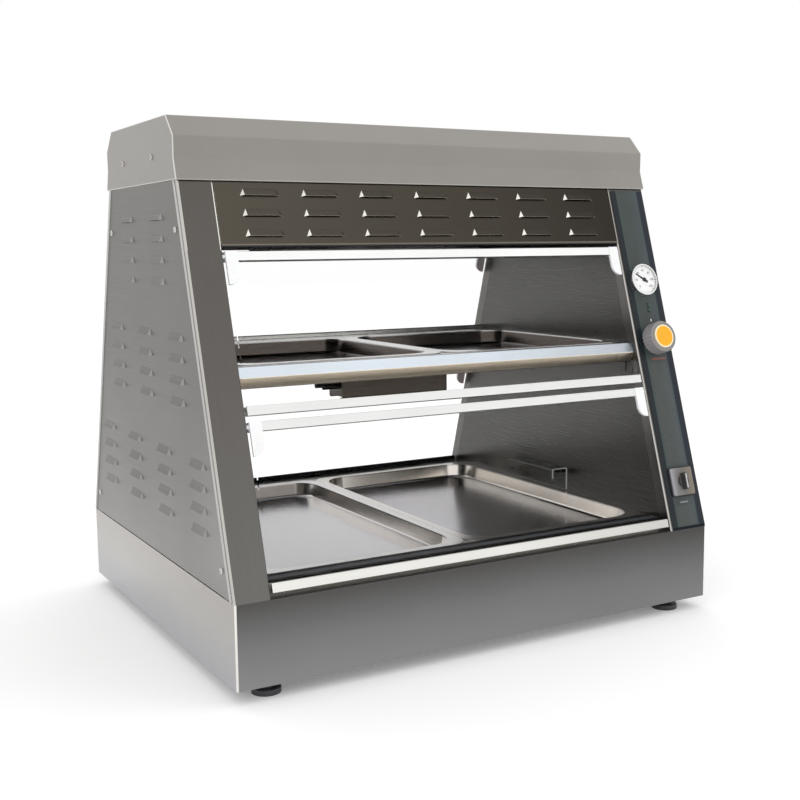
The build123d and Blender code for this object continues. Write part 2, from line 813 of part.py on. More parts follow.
def sensor_guard():
    """A folded guard over the bulbs: one leg on the wall, a short one towards the cabin."""
    x_low = right_wall_x - guard_width
    path = [(right_wall_x, guard_foot), (right_wall_x, guard_top), (x_low, guard_top),
            (x_low, guard_top - guard_short_leg)]
    plane = Plane(origin=(0, guard_rear, 0), x_dir=(1, 0, 0), z_dir=(0, -1, 0))
    return extrude(plane * folded(path, side=1), amount=guard_rear - guard_front)


bulb_places = ((right_wall_x - 8.0, guard_top - 8.0), (right_wall_x - 18.0, guard_top - 8.0))
capillary_exit = guard_rear + 16.0


def sensor_bulbs():
    """Two bulbs under the guard, each with a capillary through the wall to its instrument."""
    bulbs = []
    ends = (knob_level, thermometer_level)
    for (x, z), level in zip(bulb_places, ends):
        bulb = rod((x, guard_front + 12, z), (x, guard_rear - 8, z), bulb_radius)
        y_end = slope_y("front", level, 46.0)
        inside = x + 38.0
        exit_y = capillary_exit + (6 if level == thermometer_level else 0)
        points = [(x, guard_rear - 9, z), (x, exit_y, z), (inside, exit_y, z),
                  (inside, exit_y, level), (inside, y_end, level)]
        bulbs.append(bulb + swept_rod(points, capillary_radius, 5.0))
    return Compound(children=bulbs)


def capillary_holes():
    holes = []
    for (x, z), extra in zip(bulb_places, (0, 6)):
        y = capillary_exit + extra
        holes.append(rod((right_wall_x - 5, y, z), (right_wall_x + 5, y, z), capillary_radius + 0.3))
    return holes


# Controls


def control_overlay():
    """The dark front panel of the right post, with the holes of the controls."""
    x_low = right_wall_x + overlay_margin + 1
    x_high = width / 2 - overlay_margin
    low = slope_along("front", base_top + 4)
    high = slope_along("front", hood_bottom - 4)
    outline = Pos((x_low + x_high) / 2 - control_x, 0) * RectangleRounded(
        x_high - x_low, high - low, 3.0)
    y, z = slope_yz("front", (low + high) / 2, 0)
    tilt = radians(front_lean)
    plane = Plane(origin=(control_x, y, z), x_dir=(1, 0, 0), z_dir=(0, -cos(tilt), sin(tilt)))
    return extrude(plane * outline, amount=overlay_thickness) - control_holes()


def thermometer_case():
    """A round case behind the post, with the bezel that stands on the overlay."""
    plane = slope_plane("front", control_x, thermometer_level, overlay_thickness)
    behind = overlay_thickness + 26.0
    body = plane * Pos(0, 0, -behind) * Cylinder(thermometer_radius, behind + 2, align=(
        Align.CENTER, Align.CENTER, Align.MIN))
    ring = plane * Cylinder(thermometer_bezel, thermometer_proud, align=(
        Align.CENTER, Align.CENTER, Align.MIN))
    ring = fillet(ring.edges().sort_by(lambda edge: plane.to_local_coords(edge.center()).Z)[-1], 1.5)
    well = plane * Pos(0, 0, dial_level) * Cylinder(thermometer_radius - 0.5, thermometer_proud, align=(
        Align.CENTER, Align.CENTER, Align.MIN))
    return body + ring - well


def thermometer_dial():
    plane = slope_plane("front", control_x, thermometer_level, overlay_thickness + dial_level)
    disc = plane * Cylinder(thermometer_radius - 0.7, 0.8, align=(
        Align.CENTER, Align.CENTER, Align.MIN))
    return disc - plane * Cylinder(pointer_radius + running_clearance, 10)


def thermometer_pointer():
    """The pointer, drawn at its rest reading, with its hub and spindle."""
    plane = slope_plane("front", control_x, thermometer_level,
                        overlay_thickness + dial_level + 1.1)
    needle = polygon([(-1.8, -7.0), (1.8, -7.0), (0.8, pointer_reach), (-0.8, pointer_reach)])
    needle = plane * extrude(Rot(0, 0, pointer_rest_angle) * needle, amount=0.5)
    hub = plane * Cylinder(3.2, 1.0, align=(Align.CENTER, Align.CENTER, Align.MIN))
    spindle = plane * Pos(0, 0, -1.0) * Cylinder(pointer_radius, 1.5, align=(
        Align.CENTER, Align.CENTER, Align.MIN))
    return needle + hub + spindle


def thermometer_lens():
    plane = slope_plane("front", control_x, thermometer_level,
                        overlay_thickness + dial_level + 2.4)
    return plane * Cylinder(thermometer_radius - 0.5, 1.2, align=(
        Align.CENTER, Align.CENTER, Align.MIN))


def thermostat_body():
    """The thermostat behind the post; the knob's shaft turns in its bush."""
    plane = slope_plane("front", knob_x, knob_level, -sheet)
    body = plane * Pos(0, 0, -14) * Box(40, 46, 28)
    bush = plane * Pos(0, 0, 0.9) * Cylinder(knob_shaft_radius + 1.8, 2 * sheet + 1.0)
    return body + bush - plane * Cylinder(knob_shaft_radius + running_clearance, 24)


def thermostat_knob():
    """The ribbed knob with its shaft."""
    plane = slope_plane("front", knob_x, knob_level, overlay_thickness + knob_gap)
    body = Cylinder(knob_radius, knob_height, align=(Align.CENTER, Align.CENTER, Align.MIN))
    body = fillet(body.edges().group_by(Axis.Z)[-1], 2.0)
    body -= [Rot(0, 0, 360 / knob_ribs * rib) * Pos(knob_radius + 0.6, 0, knob_height / 2)
             * Cylinder(1.6, knob_height + 1) for rib in range(knob_ribs)]
    shaft = Pos(0, 0, -12) * Cylinder(knob_shaft_radius, 13, align=(
        Align.CENTER, Align.CENTER, Align.MIN))
    return plane * (body + shaft)


def knob_cap():
    """The coloured cap on the knob."""
    plane = slope_plane("front", knob_x, knob_level, overlay_thickness + knob_gap + knob_height)
    cap = Cylinder(knob_cap_radius, knob_cap_height, align=(Align.CENTER, Align.CENTER, Align.MIN))
    cap = fillet(cap.edges().group_by(Axis.Z)[-1], 0.6)
    return plane * cap


def switch_plate():
    plane = slope_plane("front", switch_x, switch_level, overlay_thickness)
    plate = extrude(RectangleRounded(switch_size, switch_size, 3.0), amount=switch_plate_thickness)
    plate = fillet(plate.faces().sort_by(Axis.Z)[-1].edges(), 1.0)
    return plane * (plate - Cylinder(lever_spindle_radius + running_clearance, 20))


def switch_body():
    """The switch block behind the plate; the lever's spindle turns in it."""
    plane = slope_plane("front", switch_x, switch_level, overlay_thickness)
    neck = Pos(0, 0, -8) * Box(switch_size - 13, switch_size - 13, 16)
    block_behind = Pos(0, 0, -26) * Box(40, 40, 20)
    return plane * (neck + block_behind - Cylinder(lever_spindle_radius + running_clearance, 24))


def switch_lever():
    """The round hub and its upright grip."""
    plane = slope_plane("front", switch_x, switch_level,
                        overlay_thickness + switch_plate_thickness + 0.3)
    hub = Cylinder(lever_hub_radius, 3, align=(Align.CENTER, Align.CENTER, Align.MIN))
    grip = Pos(0, 0, lever_grip_height / 2) * Box(lever_grip_width, lever_grip_length,
                                                  lever_grip_height)
    grip = fillet(grip.edges().filter_by(Axis.Z), lever_grip_width * 0.4)
    grip = fillet(grip.faces().sort_by(Axis.Z)[-1].edges(), 1.0)
    spindle = Pos(0, 0, -11) * Cylinder(lever_spindle_radius, 12, align=(
        Align.CENTER, Align.CENTER, Align.MIN))
    return plane * (hub + grip + spindle)


# Supply


def terminal_block():
    floor = foot_height + 2 * sheet
    body = block(gland_x - 32, gland_x + 32, depth / 2 - 80, depth / 2 - 56, floor, floor + 22)
    screws = [Pos(gland_x - 24 + 12 * pole, depth / 2 - 68, floor + 22) * Cylinder(3.2, 8)
              for pole in range(5)]
    return body - screws


def cable_gland():
    """The strain relief of the supply lead in the rear wall of the base."""
    y = depth / 2
    body = rod((gland_x, y - gland_inside, gland_level), (gland_x, y + gland_nut, gland_level),
               gland_radius - 0.1)
    collar = Plane(origin=(gland_x, y, gland_level), z_dir=(0, 1, 0)) * RegularPolygon(
        gland_nut_radius, 6)
    body += extrude(collar, amount=gland_nut)
    nut = Plane(origin=(gland_x, y - sheet, gland_level), z_dir=(0, -1, 0)) * RegularPolygon(
        gland_nut_radius, 6)
    body += extrude(nut, amount=gland_nut)
    cone = Plane(origin=(gland_x, y + gland_nut, gland_level), z_dir=(0, 1, 0)) * Circle(
        gland_cone_radius)
    body += extrude(cone, amount=gland_cone, taper=8)
    return body - rod((gland_x, y - 2 * gland_inside, gland_level),
                      (gland_x, y + 2 * gland_inside, gland_level), gland_bore)


# Feet


def foot(x, y):
    """A levelling foot: pad, collar and stud."""
    pad = Cylinder(foot_pad_radius, foot_pad_height, align=(Align.CENTER, Align.CENTER, Align.MIN))
    pad = fillet(pad.edges().group_by(Axis.Z)[-1], 2.5)
    collar = Cylinder(foot_collar_radius, foot_height, align=(
        Align.CENTER, Align.CENTER, Align.MIN))
    stud = Cylinder(foot_stud_radius, foot_stud_top, align=(Align.CENTER, Align.CENTER, Align.MIN))
    return Pos(x, y, 0) * (pad + collar + stud)


# All the pieces by name

pieces = {
    "base_shell": base_shell(),
    "base_floor": base_floor(),
    "base_deck": base_deck(),
    "deck_seals": deck_seals(),
    "ceiling_panel": ceiling_panel(),
    "hood_shell": hood_shell(),
    "panel_screws": panel_screws(),
    "shelf_frame": shelf_frame(),
    "shelf_brackets": shelf_brackets(),
    "shelf_heater_housing": shelf_heater_housing(),
    "shelf_heater_element": shelf_heater_element(),
    "base_heater_element": base_heater_element(),
    "heater_clips": heater_clips(),
    "lamp_holders": lamp_holders(),
    "lamp_tube": lamp_tube(),
    "sensor_guard": sensor_guard(),
    "sensor_bulbs": sensor_bulbs(),
    "control_overlay": control_overlay(),
    "thermometer_case": thermometer_case(),
    "thermometer_dial": thermometer_dial(),
    "thermometer_pointer": thermometer_pointer(),
    "thermometer_lens": thermometer_lens(),
    "thermostat_body": thermostat_body(),
    "thermostat_knob": thermostat_knob(),
    "knob_cap": knob_cap(),
    "switch_plate": switch_plate(),
    "switch_body": switch_body(),
    "switch_lever": switch_lever(),
    "terminal_block": terminal_block(),
    "cable_gland": cable_gland(),
}

for side in ("left", "right"):
    pieces[side + "_outer_panel"] = outer_panel(side)
    pieces[side + "_inner_wall"] = inner_wall(side)

for side, base_place, shelf_place in zip(("left", "right"), pan_places(pan_rim_level, 0.0),
                                         shelf_pan_places()):
    pieces[side + "_base_pan"] = pan(base_pan_length, base_place)
    pieces[side + "_shelf_pan"] = pan(shelf_pan_length, shelf_place)

for face in ("front", "rear"):
    pieces[face + "_vent_panel"] = vent_panel(face)
    for side in ("left", "right"):
        pieces[face + "_" + side + "_post"] = post(face, side)
        pieces[face + "_" + side + "_foot"] = foot(foot_x if side == "right" else -foot_x,
                                                   -foot_y if face == "front" else foot_y)
    for which in ("upper", "lower"):
        name = face + "_" + which
        pieces[name + "_glass"] = flap_glass(face, which)
        pieces[name + "_rails"] = flap_rails(face, which)
        pieces[name + "_lugs"] = flap_lugs(face, which)

os.makedirs("parts", exist_ok=True)
for name, piece in pieces.items():
    export_step(piece, "parts/" + name + ".step")
print(len(pieces), "pieces written")
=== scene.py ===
import bpy
import bmesh
import math
from mathutils import Matrix, Vector


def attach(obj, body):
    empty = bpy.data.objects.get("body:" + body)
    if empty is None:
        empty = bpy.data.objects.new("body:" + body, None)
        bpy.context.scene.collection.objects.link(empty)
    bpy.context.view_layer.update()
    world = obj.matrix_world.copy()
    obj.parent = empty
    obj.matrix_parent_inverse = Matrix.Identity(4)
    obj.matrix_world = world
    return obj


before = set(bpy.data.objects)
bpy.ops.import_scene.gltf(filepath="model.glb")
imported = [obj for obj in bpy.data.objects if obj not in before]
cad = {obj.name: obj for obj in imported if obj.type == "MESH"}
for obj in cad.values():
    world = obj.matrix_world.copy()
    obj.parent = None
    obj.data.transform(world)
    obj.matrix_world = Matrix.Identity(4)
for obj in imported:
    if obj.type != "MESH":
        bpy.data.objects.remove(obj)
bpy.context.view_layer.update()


# Plinth. A welded ring of brushed stainless sheet on a bottom plate, 110 mm high. The grain of
# the sheet runs round it. Painted shade makes its long faces darker than its ends.

def screen(red, green, blue):
    """A colour as it looks on a screen, 0 to 255, as the linear values that shaders take."""
    values = [((c / 255 + 0.055) / 1.055) ** 2.4 if c > 10 else c / 3295
              for c in (red, green, blue)]
    return (*values, 1.0)


def add(tree, kind, **settings):
    """A node with its settings and sockets filled in; a socket given as a value is linked."""
    made = tree.nodes.new("ShaderNode" + kind)
    for name, value in settings.items():
        if name in made.bl_rna.properties:
            setattr(made, name, value)
            continue
        socket = made.inputs[name.replace("_", " ")]
        if isinstance(value, bpy.types.NodeSocket):
            tree.links.new(value, socket)
        else:
            socket.default_value = value
    return made


def calc(tree, operation, *values):
    """A sum of sockets and numbers."""
    made = add(tree, "Math", operation=operation)
    for socket, value in zip(made.inputs, values):
        if isinstance(value, bpy.types.NodeSocket):
            tree.links.new(value, socket)
        else:
            socket.default_value = value
    return made.outputs["Value"]


def finish(name, **surface):
    """A new material with its Principled shader's own sockets set; gives both and the tree."""
    made = bpy.data.materials.new(name)
    made.use_nodes = True
    tree = made.node_tree
    shader = tree.nodes["Principled BSDF"]
    for socket, value in surface.items():
        shader.inputs[socket.replace("_", " ")].default_value = value
    return made, tree, shader


def spread(tree, value, low, high, start=0.3, end=0.7):
    """A value between start and end, stretched to run from low to high."""
    return add(tree, "MapRange", Value=value, From_Min=start, From_Max=end,
               To_Min=low, To_Max=high).outputs["Result"]


def tones(tree, value, steps):
    """A colour ramp through (value, colour) steps, the values in metres or as cosines."""
    start, end = steps[0][0], steps[-1][0]
    ramp = add(tree, "ValToRGB", Fac=spread(tree, value, 0.0, 1.0, start, end))
    elements = ramp.color_ramp.elements
    elements[0].position, elements[0].color = 0.0, steps[0][1]
    elements[1].position, elements[1].color = 1.0, steps[-1][1]
    for position, colour in steps[1:-1]:
        elements.new((position - start) / (end - start)).color = colour
    return ramp.outputs["Color"]


def between(tree, value, low, high, soft):
    """1 where a value lies from low to high, falling to 0 over a soft margin outside."""
    return calc(tree, "MULTIPLY", spread(tree, value, 0.0, 1.0, low - soft, low),
                spread(tree, value, 1.0, 0.0, high, high + soft))


def mixed(tree, share, below, above):
    """The colour below where the share is 0, turning into the one above where it is 1."""
    return add(tree, "MixRGB", Fac=share, Color1=below, Color2=above).outputs["Color"]


def place(tree):
    """Where a point of the piece is, in metres, and which way its surface faces there."""
    coordinates = add(tree, "TexCoord")
    found = {"here": coordinates.outputs["Object"]}
    for prefix, source in (("", "Object"), ("n", "Normal")):
        split = add(tree, "SeparateXYZ", Vector=coordinates.outputs[source])
        for axis in "XYZ":
            found[prefix + axis.lower()] = split.outputs[axis]
    return found


def shaded(tree, colour, amount):
    """A colour or a colour socket, made lighter or darker by a value round 1."""
    scaled = add(tree, "VectorMath", operation="SCALE", Scale=amount)
    if isinstance(colour, bpy.types.NodeSocket):
        tree.links.new(colour, scaled.inputs[0])
    else:
        scaled.inputs[0].default_value = colour[:3]
    return scaled.outputs["Vector"]


def brushed(name, tone, roughness=0.3, grain=(14.0, 14.0, 1500.0), streak=0.05, cloud=0.05,
            ripple=0.05, metal=None):
    """Brushed sheet. tone is a colour, or a function that gives one from the place; metal is a
    function that gives how metallic the sheet is there, else it is metallic all over."""
    made, tree, shader = finish(name, Metallic=1.0, Anisotropic=0.45)
    at = place(tree)
    colour = tone(tree, at) if callable(tone) else tone
    along = add(tree, "Mapping", Vector=at["here"], Scale=grain)
    lines = add(tree, "TexNoise", Vector=along.outputs["Vector"], Scale=1.0, Detail=3.0,
                Roughness=0.6).outputs["Fac"]
    blotch = add(tree, "TexNoise", Vector=at["here"], Scale=4.5, Detail=3.0,
                 Roughness=0.55).outputs["Fac"]
    amount = calc(tree, "MULTIPLY", spread(tree, lines, 1 - streak, 1 + streak),
                  spread(tree, blotch, 1 - cloud, 1 + cloud))
    tree.links.new(shaded(tree, colour, amount), shader.inputs["Base Color"])
    tree.links.new(spread(tree, lines, roughness - 0.04, roughness + 0.05),
                   shader.inputs["Roughness"])
    if metal:
        tree.links.new(metal(tree, at), shader.inputs["Metallic"])
    grained = add(tree, "Bump", Strength=ripple, Distance=0.0001, Height=lines)
    tree.links.new(grained.outputs["Normal"], shader.inputs["Normal"])
    return made


def dress(material, *names):
    """Gives CAD pieces a material."""
    for name in names:
        mesh = cad[name].data
        mesh.materials.clear()
        mesh.materials.append(material)


# Painted light on the plinth: painted shade darkens the long faces towards the top and to the right,
# the ends are painted lighter, the rounded corners carry a painted highlight and the top its own
# painted reflection.
def plinth_painted_light(tree, at):
    fronts = tones(tree, at["z"], [(0.02, screen(142, 142, 143)), (0.07, screen(124, 124, 124)),
                                   (0.125, screen(86, 85, 84))])
    shaded_long_faces = shaded(tree, fronts, spread(tree, at["x"], 1.0, 0.79, -0.1, 0.38))
    lit_end_faces = tones(tree, at["z"], [(0.02, screen(182, 182, 186)), (0.08, screen(188, 186, 183)),
                                      (0.125, screen(183, 179, 175))])
    side_on = calc(tree, "ABSOLUTE", at["nx"])
    ring = mixed(tree, spread(tree, side_on, 0.0, 1.0, 0.6, 0.9), shaded_long_faces, lit_end_faces)
    corner = mixed(tree, between(tree, side_on, 0.4, 0.86, 0.1), ring, screen(236, 232, 228))
    return mixed(tree, spread(tree, at["nz"], 0.0, 1.0, 0.4, 0.7), corner, screen(150, 148, 145))


dress(brushed("plinth_steel", plinth_painted_light, roughness=0.34, streak=0.03, cloud=0.03), "base_shell")
floor_steel = brushed("floor_steel", screen(120, 119, 117), roughness=0.4,
                      grain=(14.0, 1500.0, 14.0))
dress(floor_steel, "base_floor")


# Levelling feet. Black nylon pads moulded on steel studs; each screws into an insert in the
# bottom plate.

def moulded(name, tone, roughness=0.45, texture=900.0, depth=0.00005, **surface):
    """Moulded plastic or rubber with a fine spark-eroded texture and faint handling marks."""
    made, tree, shader = finish(name, **surface)
    at = place(tree)
    colour = tone(tree, at) if callable(tone) else tone
    pores = add(tree, "TexNoise", Vector=at["here"], Scale=texture, Detail=2.0).outputs["Fac"]
    marks = add(tree, "TexNoise", Vector=at["here"], Scale=28.0, Detail=4.0,
                Roughness=0.65).outputs["Fac"]
    tree.links.new(spread(tree, marks, roughness - 0.08, roughness + 0.1),
                   shader.inputs["Roughness"])
    tree.links.new(shaded(tree, colour, spread(tree, marks, 0.95, 1.04)),
                   shader.inputs["Base Color"])
    grained = add(tree, "Bump", Strength=0.3, Distance=depth, Height=pores)
    tree.links.new(grained.outputs["Normal"], shader.inputs["Normal"])
    return made


foot_nylon = moulded("foot_nylon", screen(62, 61, 66), roughness=0.28)
dress(foot_nylon, "front_left_foot", "front_right_foot", "rear_left_foot", "rear_right_foot")


# Supply entry. A black nylon gland through the rear wall and a terminal block on the floor
# behind it.

gland_nylon = moulded("gland_nylon", screen(34, 34, 36), roughness=0.5)
dress(gland_nylon, "cable_gland", "terminal_block")


# Deck, seals and pans. The deck is a folded sheet with two openings and rubber seals along its
# front and rear, whose black also stands in as painted shadow for the gaps there; the pans are
# pressed from bright sheet and carry fine scratches from use. Their floors, walls and rims are
# painted in lit and shaded tones.

def pressed(name, tone, roughness=0.2):
    """Bright pressed sheet with faint hairline scratches in two directions."""
    made, tree, shader = finish(name, Metallic=1.0)
    at = place(tree)
    hairs = []
    for turn, stretch in ((0.3, (4.0, 260.0, 4.0)), (1.9, (260.0, 5.0, 5.0))):
        strokes = add(tree, "Mapping", Vector=at["here"], Rotation=(0, 0, turn), Scale=stretch)
        found = add(tree, "TexNoise", Vector=strokes.outputs["Vector"], Scale=1.0, Detail=1.0)
        hairs.append(spread(tree, found.outputs["Fac"], 0.0, 1.0, 0.6, 0.75))
    hair = calc(tree, "MAXIMUM", *hairs)
    haze = add(tree, "TexNoise", Vector=at["here"], Scale=7.0, Detail=3.0,
               Roughness=0.5).outputs["Fac"]
    tree.links.new(spread(tree, haze, roughness - 0.03, roughness + 0.04),
                   shader.inputs["Roughness"])
    lightness = calc(tree, "MULTIPLY_ADD", hair, 0.05, spread(tree, haze, 0.95, 1.03))
    tree.links.new(shaded(tree, tone(tree, at), lightness), shader.inputs["Base Color"])
    return made


def pan_painted_light(floor, wall, rim, rim_level, painted_glint=None, lit_right_wall=None):
    """Painted light on a pan: its floor, walls and rim get tones of their own by how they face and
    how high they are, standing in for its lit, shaded and mirrored parts; the floor is given in
    (x, colour) steps. Where given, a painted highlight goes on walls turned partly to the rear, and
    a lit tone is painted on walls facing left."""
    def tone(tree, at):
        flat = spread(tree, at["nz"], 0.0, 1.0, 0.3, 0.7)
        high = spread(tree, at["z"], 0.0, 1.0, rim_level - 0.0025, rim_level - 0.0012)
        upright = wall
        if lit_right_wall:
            upright = mixed(tree, spread(tree, at["nx"], 1.0, 0.0, -0.7, -0.35), wall, lit_right_wall)
        if painted_glint:
            upright = mixed(tree, between(tree, at["ny"], 0.15, 0.6, 0.1), upright, painted_glint)
        return mixed(tree, high, mixed(tree, flat, upright, tones(tree, at["x"], floor)), rim)
    return tone


base_rim = 0.146
shelf_rim = 0.409
dress(brushed("deck_steel", screen(150, 148, 143), roughness=0.25, grain=(14.0, 1500.0, 14.0)),
      "base_deck")


def seal_tone_and_shadow(tree, at):
    """Black, also standing in as painted shadow for the gaps along the deck's edges, with a grey
    band along the crown of the flat seal at the front.
    """
    return tones(tree, at["y"], [(-0.299, screen(14, 14, 14)), (-0.2915, screen(16, 16, 16)),
                                 (-0.2895, screen(84, 85, 88)), (-0.278, screen(76, 77, 80)),
                                 (-0.276, screen(16, 16, 16)), (-0.267, screen(20, 20, 20))])


dress(moulded("seal_rubber", seal_tone_and_shadow, roughness=0.6, Specular_IOR_Level=0.15), "deck_seals")
# Painted reflections and shade: the left pan's floor is painted light, the right pan's floor darker
# to the right and the shelf pans dark; the right pan's walls are painted light, and painted
# highlights light the left pan's right wall and the right pan's front corner.
left_floor = [(-0.33, screen(168, 168, 169)), (-0.02, screen(176, 175, 178))]
right_floor = [(0.0, screen(160, 158, 164)), (0.12, screen(146, 143, 145)),
               (0.3, screen(112, 110, 110))]
shelf_floor = [(-0.33, screen(70, 66, 66)), (0.02, screen(76, 70, 68)),
               (0.1, screen(128, 124, 128)), (0.3, screen(110, 106, 106))]
left_pan = pan_painted_light(left_floor, screen(140, 134, 130), screen(190, 188, 187), base_rim,
                    lit_right_wall=screen(255, 248, 240))
right_pan = pan_painted_light(right_floor, screen(236, 230, 222), screen(190, 186, 182), base_rim,
                     painted_glint=screen(255, 252, 248))
shelf_pans = pan_painted_light(shelf_floor, screen(84, 77, 72), screen(186, 185, 184), shelf_rim)
dress(pressed("left_pan_steel", left_pan), "left_base_pan")
dress(pressed("right_pan_steel", right_pan), "right_base_pan")
dress(pressed("shelf_pan_steel", shelf_pans), "left_shelf_pan", "right_shelf_pan")


# Posts. Four folded posts on the slopes; the grain runs up them. Their folds carry painted
# highlights, the left posts' outsides are painted lighter and the right posts' inner returns carry
# painted shade.

post_outer = 0.383
post_foot = 0.15
film_left = 0.3185
vent_foot = 0.556


def post_painted_light(tree, at):
    """Painted light: darker towards the top, painted shade on the right posts' inner returns,
    painted highlights along the folds beside the vents and on the right posts' inner folds, painted
    lighter outsides on the left posts, and the foot below the film painted dark.
    """
    skin = tones(tree, at["z"], [(0.13, screen(112, 111, 108)), (0.33, screen(106, 103, 100)),
                                 (0.66, screen(96, 92, 88))])
    side_on = calc(tree, "ABSOLUTE", at["nx"])
    returned = mixed(tree, spread(tree, side_on, 0.0, 1.0, 0.8, 0.95), skin, screen(104, 102, 98))
    inward = calc(tree, "MULTIPLY", spread(tree, at["nx"], 1.0, 0.0, -0.97, -0.9),
                  calc(tree, "GREATER_THAN", at["x"], 0.0))
    shadowed = mixed(tree, inward, returned, screen(52, 50, 48))
    front_foot = calc(tree, "MULTIPLY", calc(tree, "LESS_THAN", at["z"], post_foot),
                      calc(tree, "LESS_THAN", at["y"], 0.0))
    film_foot = calc(tree, "MULTIPLY", calc(tree, "GREATER_THAN", at["x"], film_left), front_foot)
    under_film = mixed(tree, film_foot, shadowed, screen(34, 38, 42))
    beside_vent = calc(tree, "MULTIPLY", calc(tree, "LESS_THAN", at["x"], 0.0),
                       calc(tree, "GREATER_THAN", at["z"], vent_foot))
    left_fold = calc(tree, "MULTIPLY", between(tree, side_on, 0.2, 0.92, 0.1), beside_vent)
    left_highlight = mixed(tree, left_fold, under_film, screen(255, 253, 248))
    right_fold = calc(tree, "MULTIPLY", between(tree, side_on, 0.5, 0.92, 0.1),
                      between(tree, at["x"], 0.30, 0.33, 0.001))
    right_highlight = mixed(tree, right_fold, left_highlight, screen(206, 203, 198))
    lit_outside = calc(tree, "LESS_THAN", at["x"], -post_outer)
    return mixed(tree, lit_outside, right_highlight, screen(196, 193, 188))


dress(brushed("post_steel", post_painted_light, grain=(1500.0, 14.0, 8.0), streak=0.05, cloud=0.05),
      "front_left_post", "front_right_post", "rear_left_post", "rear_right_post")


# Sides. Two louvred outer panels with rolled hems, screwed to the posts, and a plain inner wall
# on each side. The ends of the louvres stand square to the panel; their front ends and the hems
# carry painted highlights.

front_lean = math.radians(17.2)
rear_lean = math.radians(17.6)
slope_foot = 0.317
slope_foot_level = 0.129
hem_width = 0.0111


def hem_share(tree, at):
    """1 on the rolled hems along the slanted edges of the side panels, else 0."""
    insets = []
    for lean, towards in ((front_lean, 1), (rear_lean, -1)):
        level = calc(tree, "MULTIPLY_ADD", at["z"], -math.sin(lean),
                     slope_foot * math.cos(lean) + slope_foot_level * math.sin(lean))
        insets.append(calc(tree, "MULTIPLY_ADD", at["y"], towards * math.cos(lean), level))
    return calc(tree, "LESS_THAN", calc(tree, "MINIMUM", *insets), hem_width)


def side_painted_light(tree, at):
    """Painted light: darker higher up, painted light low down by the front post, painted shade on
    the louvre crowns, and painted highlights on the louvres' front ends and on the hems.
    """
    plain = tones(tree, at["z"], [(0.13, screen(137, 135, 132)), (0.25, screen(116, 114, 111)),
                                  (0.44, screen(109, 107, 104)), (0.66, screen(112, 110, 106))])
    painted_glow = calc(tree, "MULTIPLY", spread(tree, at["y"], 1.0, 0.0, -0.29, -0.16),
                spread(tree, at["z"], 1.0, 0.0, 0.14, 0.36))
    sheet = mixed(tree, painted_glow, plain, screen(146, 144, 142))
    front_end_glint = spread(tree, at["ny"], 1.0, 0.0, -0.5, -0.3)
    crown = spread(tree, at["nz"], 0.0, 1.0, 0.15, 0.5)
    body = mixed(tree, crown, sheet, shaded(tree, sheet, 0.82))
    both = mixed(tree, front_end_glint, body, screen(152, 151, 148))
    return mixed(tree, hem_share(tree, at), both, screen(192, 191, 189))


dress(brushed("side_steel", side_painted_light, roughness=0.32, streak=0.04, cloud=0.07),
      "left_outer_panel", "right_outer_panel")
wall_steel = brushed("wall_steel", screen(90, 89, 87), roughness=0.3, streak=0.02)
dress(wall_steel, "left_inner_wall", "right_inner_wall", "ceiling_panel")


# Vent panels under the hood, front and rear, with three rows of pressed louvres; the lower edge
# is hemmed and folded in under the panel. Their tone carries painted light: painted highlights on
# the louvres' left ends and the hem, painted shade on their right ends and a painted black shadow
# in the fold.

vent_fold = 0.5620
vent_hem_low = 0.5622
vent_hem_high = 0.5638


def vent_painted_light(tree, at):
    """Dark sheet, darker to the right, with painted shade on the louvre crowns and right ends, pale
    painted light in the louvre mouths, painted highlights on their left ends and a hem line, and a
    painted black shadow below the fold.
    """
    sheet = tones(tree, at["x"], [(-0.34, screen(88, 83, 74)), (0.0, screen(76, 71, 63)),
                                  (0.32, screen(55, 51, 46))])
    crown = mixed(tree, spread(tree, at["nz"], 0.0, 1.0, 0.3, 0.6), sheet, shaded(tree, sheet, 0.92))
    mouth_light = mixed(tree, spread(tree, at["nz"], 1.0, 0.0, -0.4, -0.2), crown, screen(214, 204, 186))
    left_end_glint = spread(tree, at["nx"], 1.0, 0.0, -0.5, -0.3)
    right_end_shade = spread(tree, at["nx"], 0.0, 1.0, 0.3, 0.5)
    lit = mixed(tree, left_end_glint, mouth_light, screen(250, 248, 240))
    whole = mixed(tree, right_end_shade, lit, screen(38, 36, 33))
    hem_highlight = between(tree, at["z"], vent_hem_low, vent_hem_high, 0.0004)
    hemmed = mixed(tree, hem_highlight, whole, screen(118, 112, 103))
    return mixed(tree, calc(tree, "LESS_THAN", at["z"], vent_fold), hemmed, screen(16, 15, 14))


def metal_except_painted_light(tree, at):
    """0 inside the louvres and along the lower fold, so that the painted light and painted shadow
    there show as plain colour, and 1 elsewhere.
    """
    return calc(tree, "MULTIPLY", spread(tree, at["nz"], 0.0, 1.0, -0.4, -0.2),
                calc(tree, "GREATER_THAN", at["z"], vent_fold))


dress(brushed("vent_steel", vent_painted_light, roughness=0.26, streak=0.04, metal=metal_except_painted_light),
      "front_vent_panel", "rear_vent_panel")


# Hood. One folded cover with flat ends welded in and rounded off, sprayed in a satin taupe
# paint, with painted highlights round its rounded ends and along its lower edge.

